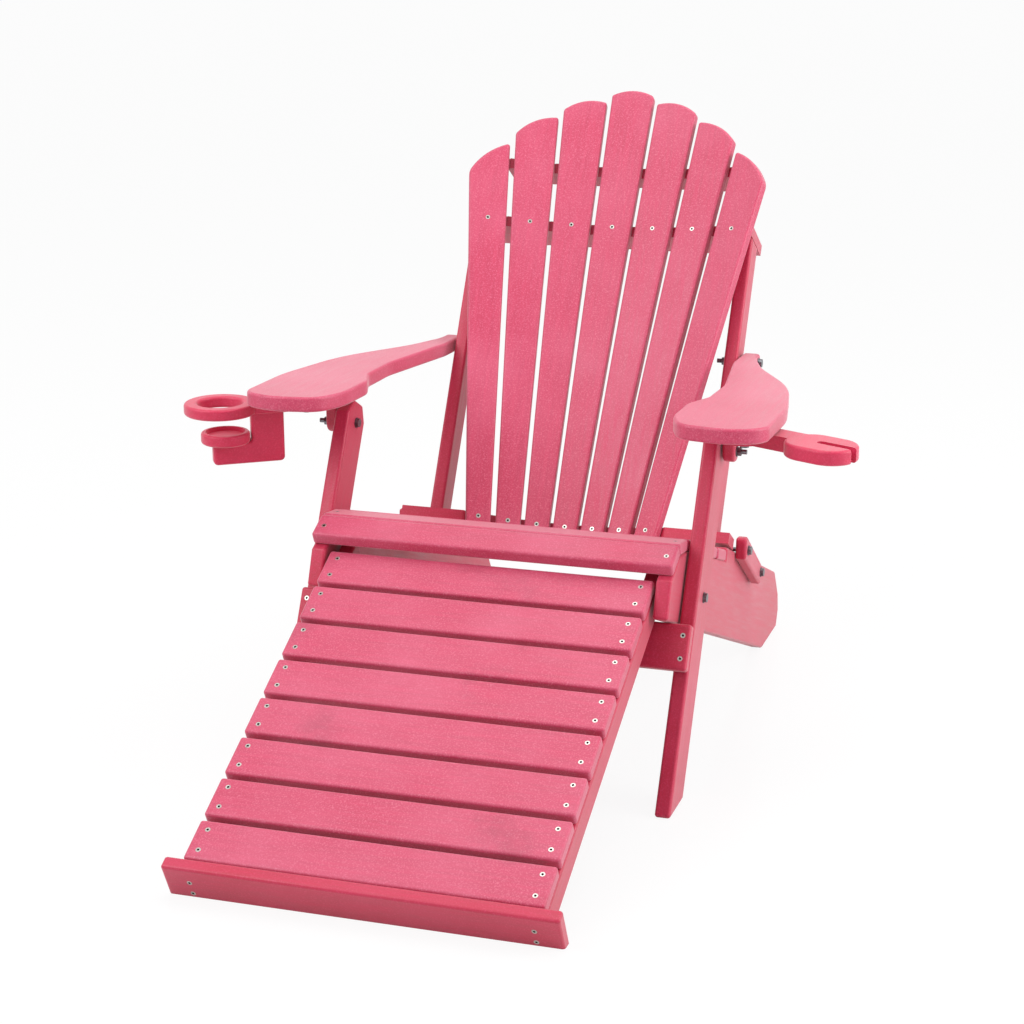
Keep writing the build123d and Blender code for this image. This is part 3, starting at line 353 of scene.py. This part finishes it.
spread = add_node(screw_tree, "GeometryNodeInstanceOnPoints", Points=entry.outputs["Geometry"],
                  Instance=head_info.outputs["Geometry"], Rotation=turned_head.outputs[0])
solid = add_node(screw_tree, "GeometryNodeRealizeInstances", Geometry=spread.outputs[0])
metal = add_node(screw_tree, "GeometryNodeSetMaterial", Geometry=solid.outputs[0],
                 Material=entry.outputs["Metal"])
add_node(screw_tree, "NodeGroupOutput", Geometry=metal.outputs[0])
sockets = {item.name: item.identifier for item in screw_tree.interface.items_tree
           if item.in_out == "INPUT"}

for node_name, body in (("seat_screws", "seat_frame"), ("stretcher_screws", "front_legs"),
                        ("back_screws", "back"), ("footrest_screws", "footrest")):
    spots = screw_spots(node_name)
    spot_mesh = bpy.data.meshes.new(node_name + "_spots")
    spot_mesh.from_pydata([tuple(centre) for centre, axis in spots], [], [])
    facings = spot_mesh.attributes.new("facing", "FLOAT_VECTOR", "POINT")
    facings.data.foreach_set("vector", [v for centre, axis in spots for v in axis])
    carrier = bpy.data.objects.new(node_name + "_spots", spot_mesh)
    bpy.context.scene.collection.objects.link(carrier)
    modifier = carrier.modifiers.new("screws", "NODES")
    modifier.node_group = screw_tree
    modifier[sockets["Head"]] = head_object
    modifier[sockets["Metal"]] = screw_steel
    modifier[sockets["Most Turn"]] = most_turn
    graph = bpy.context.evaluated_depsgraph_get()
    mesh = bpy.data.meshes.new_from_object(carrier.evaluated_get(graph), depsgraph=graph)
    bpy.data.objects.remove(carrier)
    heads = bpy.data.objects.new("heads_of_" + node_name, mesh)
    bpy.context.scene.collection.objects.link(heads)
    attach(heads, body)
    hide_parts(node_name)

# Studio: a plain white floor, a bright even surround and three soft lamps, as for a catalogue
# picture on white. The floor looks white to the camera and still takes the chair's shadow.
white = srgb("#FFFFFF")
floor_pale = srgb("#EFEFEF")
floor_reach = 30.0
floor_drop = 0.0005           # below the feet, so that the two faces don't flicker
floor_white_seen = 0.9        # share of plain white that the camera sees
floor_white_mirrored = 0.3    # the same in reflections
surround_light = 0.50
floor_mesh = bpy.data.meshes.new("floor")
floor_mesh.from_pydata([(-floor_reach, -floor_reach, 0), (floor_reach, -floor_reach, 0),
                        (floor_reach, floor_reach, 0), (-floor_reach, floor_reach, 0)], [], [(0, 1, 2, 3)])
floor = bpy.data.objects.new("floor", floor_mesh)
floor.location = (0, 0, -floor_drop)
bpy.context.scene.collection.objects.link(floor)
white_floor = bpy.data.materials.new("white_studio_floor")
white_floor.use_nodes = True
floor_tree = white_floor.node_tree
floor_tree.nodes.clear()
floor_rays = add_node(floor_tree, "ShaderNodeLightPath")
plain = add_node(floor_tree, "ShaderNodeBsdfPrincipled", Base_Color=floor_pale, Roughness=0.22)
glow = add_node(floor_tree, "ShaderNodeEmission", Color=white, Strength=1.0)
mirrored_share = add_node(floor_tree, "ShaderNodeMath", {"operation": "MULTIPLY"},
                          _0=floor_rays.outputs["Is Glossy Ray"], _1=floor_white_mirrored)
glow_share = add_node(floor_tree, "ShaderNodeMath", {"operation": "MULTIPLY_ADD"},
                      _0=floor_rays.outputs["Is Camera Ray"], _1=floor_white_seen,
                      _2=mirrored_share.outputs[0])
floor_mix = add_node(floor_tree, "ShaderNodeMixShader", Fac=glow_share.outputs[0], _1=plain.outputs[0],
                     _2=glow.outputs[0])
add_node(floor_tree, "ShaderNodeOutputMaterial", Surface=floor_mix.outputs[0])
floor_mesh.materials.append(white_floor)

world = bpy.data.worlds.new("studio")
bpy.context.scene.world = world
world.use_nodes = True
sky_tree = world.node_tree
sky_tree.nodes.clear()
lit = add_node(sky_tree, "ShaderNodeBackground", Color=white, Strength=surround_light)
seen_sky = add_node(sky_tree, "ShaderNodeBackground", Color=white, Strength=1.0)
sky_rays = add_node(sky_tree, "ShaderNodeLightPath")
seen_or_mirrored = add_node(sky_tree, "ShaderNodeMath", {"operation": "MAXIMUM"},
                            _0=sky_rays.outputs["Is Camera Ray"], _1=sky_rays.outputs["Is Glossy Ray"])
choose = add_node(sky_tree, "ShaderNodeMixShader", Fac=seen_or_mirrored.outputs[0], _1=lit.outputs[0],
                  _2=seen_sky.outputs[0])
add_node(sky_tree, "ShaderNodeOutputWorld", Surface=choose.outputs[0])

for lamp_name, place, aim_at, size, power in (("key", (-2.6, -2.4, 3.4), (0, 0.1, 0.4), 2.6, 120),
                                              ("side", (3.4, 0.5, 1.8), (0.2, 0.3, 0.5), 2.4, 95),
                                              ("top", (0.2, 0.6, 4.2), (0, 0.1, 0.2), 3.0, 80)):
    lamp = bpy.data.lights.new(lamp_name, "AREA")
    lamp.energy = power
    lamp.size = size
    lamp_object = bpy.data.objects.new(lamp_name, lamp)
    lamp_object.location = place
    lamp_object.rotation_euler = (Vector(aim_at) - Vector(place)).to_track_quat("-Z", "Y").to_euler()
    bpy.context.scene.collection.objects.link(lamp_object)

# Camera: stood in front, to the sitter's left and above the arms, looking down on the seat,
# with the place, turn and lens that lay the frame over the photograph.
camera_place = (1.1596, -3.4163, 1.5228)
camera_turn_degrees = (73.5668, 0.3331, 17.8804)
camera_data = bpy.data.cameras.new("camera")
camera_data.sensor_width = 36.0
camera_data.lens = 82.08
camera = bpy.data.objects.new("camera", camera_data)
camera.location = camera_place
camera.rotation_euler = tuple(math.radians(angle) for angle in camera_turn_degrees)
bpy.context.scene.collection.objects.link(camera)
bpy.context.scene.camera = camera
bpy.context.scene.view_settings.view_transform = "Standard"
